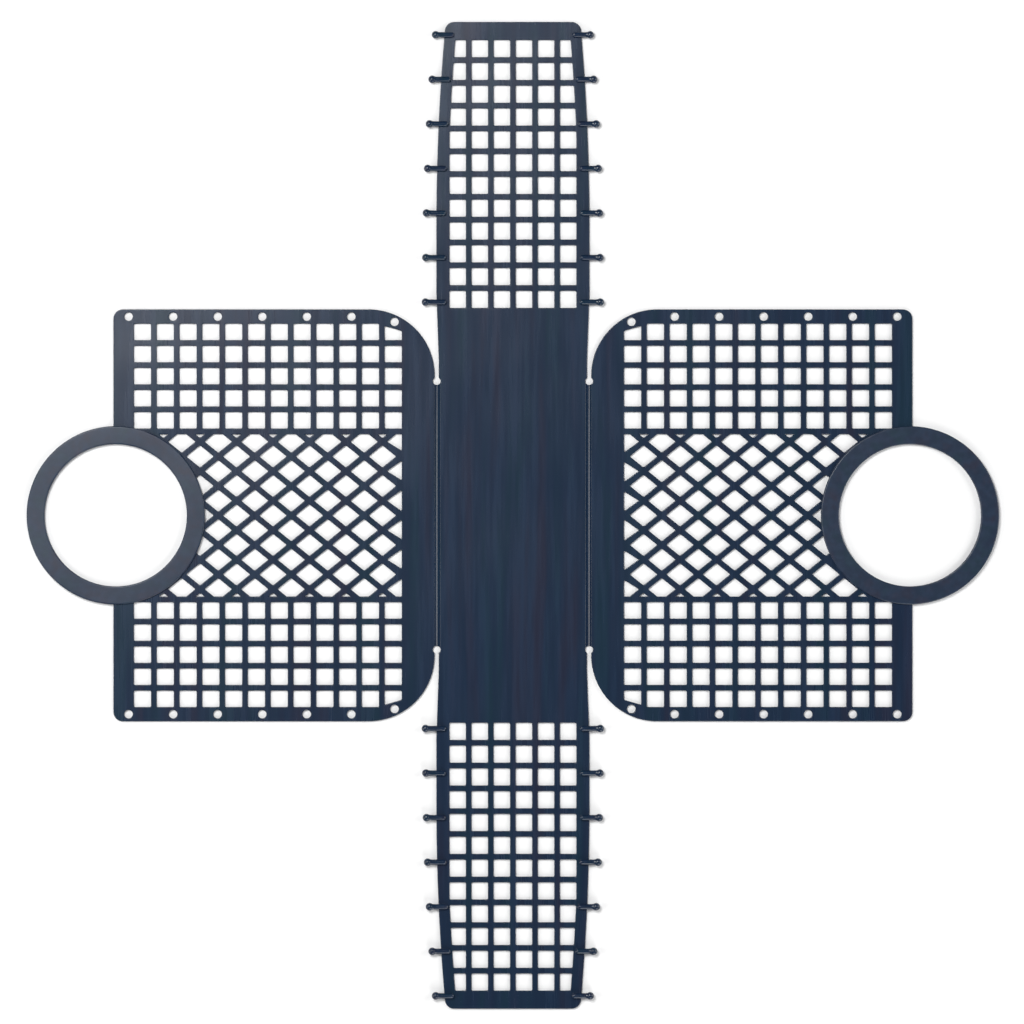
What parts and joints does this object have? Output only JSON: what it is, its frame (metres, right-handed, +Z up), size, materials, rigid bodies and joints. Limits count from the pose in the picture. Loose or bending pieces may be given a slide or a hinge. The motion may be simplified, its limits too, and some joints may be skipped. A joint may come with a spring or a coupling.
{
  "type": "fold-up net carrier bag",
  "caption": "Flat-moulded plastic net bag: ring-handled net faces fold up on grooves and button onto the ball-ended pegs of net gussets.",
  "frame": {"origin": "centre of the base plate, on its underside, with the bag laid out flat", "axes": "+Z up, the side the faces and gussets fold to; +X across the two faces; +Y along the gussets"},
  "size_m": [0.9726, 0.987, 0.0079],
  "materials": {
    "sheet_plastic": "satin",
    "ring_plastic": "satin",
    "peg_plastic": "semi-gloss"
  },
  "bodies": {
    "base": {"base_plate": "sheet_plastic", "left_fold_web": "sheet_plastic", "right_fold_web": "sheet_plastic"},
    "left_panel": {"left_base_band": "sheet_plastic", "left_diamond_net": "sheet_plastic", "left_ring_handle": "ring_plastic", "left_side_rail_back": "sheet_plastic", "left_side_rail_front": "sheet_plastic", "left_mouth_rail_back": "sheet_plastic", "left_mouth_rail_front": "sheet_plastic", "left_net_back": "sheet_plastic", "left_net_front": "sheet_plastic", "left_divider_back": "sheet_plastic", "left_divider_front": "sheet_plastic"},
    "right_panel": {"right_base_band": "sheet_plastic", "right_diamond_net": "sheet_plastic", "right_ring_handle": "ring_plastic", "right_side_rail_back": "sheet_plastic", "right_side_rail_front": "sheet_plastic", "right_mouth_rail_back": "sheet_plastic", "right_mouth_rail_front": "sheet_plastic", "right_net_back": "sheet_plastic", "right_net_front": "sheet_plastic", "right_divider_back": "sheet_plastic", "right_divider_front": "sheet_plastic"},
    "back_bend_1": {"back_bend_plate_1": "sheet_plastic"},
    "back_bend_2": {"back_bend_plate_2": "sheet_plastic"},
    "back_bend_3": {"back_bend_plate_3": "sheet_plastic"},
    "back_bend_4": {"back_bend_net": "sheet_plastic", "back_root_pegs": "peg_plastic"},
    "back_gusset": {"back_gusset_net": "sheet_plastic", "back_gusset_rim_left": "sheet_plastic", "back_gusset_rim_right": "sheet_plastic", "back_gusset_mouth_bar": "sheet_plastic", "back_pegs_left": "peg_plastic", "back_pegs_right": "peg_plastic"},
    "front_bend_1": {"front_bend_plate_1": "sheet_plastic"},
    "front_bend_2": {"front_bend_plate_2": "sheet_plastic"},
    "front_bend_3": {"front_bend_plate_3": "sheet_plastic"},
    "front_bend_4": {"front_bend_net": "sheet_plastic", "front_root_pegs": "peg_plastic"},
    "front_gusset": {"front_gusset_net": "sheet_plastic", "front_gusset_rim_left": "sheet_plastic", "front_gusset_rim_right": "sheet_plastic", "front_gusset_mouth_bar": "sheet_plastic", "front_pegs_left": "peg_plastic", "front_pegs_right": "peg_plastic"}
  },
  "joints": [
    {"name": "left_panel_fold", "type": "hinge", "parent": "base", "child": "left_panel", "pos_m": [-0.0762, 0, 0.0033], "axis": [0, 1, 0], "range_deg": [0, 90], "deforming": ["left_fold_web"]},
    {"name": "right_panel_fold", "type": "hinge", "parent": "base", "child": "right_panel", "pos_m": [0.0762, 0, 0.0033], "axis": [0, -1, 0], "range_deg": [0, 90], "deforming": ["right_fold_web"]},
    {"name": "back_bend_1_fold", "type": "hinge", "parent": "base", "child": "back_bend_1", "pos_m": [0, 0.1421, 0.0025], "axis": [1, 0, 0], "range_deg": [0, 18], "stiffness_Nm_per_rad": 1},
    {"name": "back_bend_2_fold", "type": "hinge", "parent": "back_bend_1", "child": "back_bend_2", "pos_m": [0, 0.1639, 0.0025], "axis": [1, 0, 0], "range_deg": [0, 18]},
    {"name": "back_bend_3_fold", "type": "hinge", "parent": "back_bend_2", "child": "back_bend_3", "pos_m": [0, 0.1857, 0.0025], "axis": [1, 0, 0], "range_deg": [0, 18]},
    {"name": "back_bend_4_fold", "type": "hinge", "parent": "back_bend_3", "child": "back_bend_4", "pos_m": [0, 0.2075, 0.0025], "axis": [1, 0, 0], "range_deg": [0, 18]},
    {"name": "back_gusset_fold", "type": "hinge", "parent": "back_bend_4", "child": "back_gusset", "pos_m": [0, 0.2303, 0.0025], "axis": [1, 0, 0], "range_deg": [0, 18]},
    {"name": "front_bend_1_fold", "type": "hinge", "parent": "base", "child": "front_bend_1", "pos_m": [0, -0.1421, 0.0025], "axis": [-1, 0, 0], "range_deg": [0, 18], "stiffness_Nm_per_rad": 1},
    {"name": "front_bend_2_fold", "type": "hinge", "parent": "front_bend_1", "child": "front_bend_2", "pos_m": [0, -0.1639, 0.0025], "axis": [-1, 0, 0], "range_deg": [0, 18]},
    {"name": "front_bend_3_fold", "type": "hinge", "parent": "front_bend_2", "child": "front_bend_3", "pos_m": [0, -0.1857, 0.0025], "axis": [-1, 0, 0], "range_deg": [0, 18]},
    {"name": "front_bend_4_fold", "type": "hinge", "parent": "front_bend_3", "child": "front_bend_4", "pos_m": [0, -0.2075, 0.0025], "axis": [-1, 0, 0], "range_deg": [0, 18]},
    {"name": "front_gusset_fold", "type": "hinge", "parent": "front_bend_4", "child": "front_gusset", "pos_m": [0, -0.2303, 0.0025], "axis": [-1, 0, 0], "range_deg": [0, 18]}
  ],
  "couplings": [
    {"joint": "back_bend_2_fold", "follows": "back_bend_1_fold", "ratio": 1},
    {"joint": "back_bend_3_fold", "follows": "back_bend_1_fold", "ratio": 1},
    {"joint": "back_bend_4_fold", "follows": "back_bend_1_fold", "ratio": 1},
    {"joint": "back_gusset_fold", "follows": "back_bend_1_fold", "ratio": 1},
    {"joint": "front_bend_2_fold", "follows": "front_bend_1_fold", "ratio": 1},
    {"joint": "front_bend_3_fold", "follows": "front_bend_1_fold", "ratio": 1},
    {"joint": "front_bend_4_fold", "follows": "front_bend_1_fold", "ratio": 1},
    {"joint": "front_gusset_fold", "follows": "front_bend_1_fold", "ratio": 1}
  ]
}
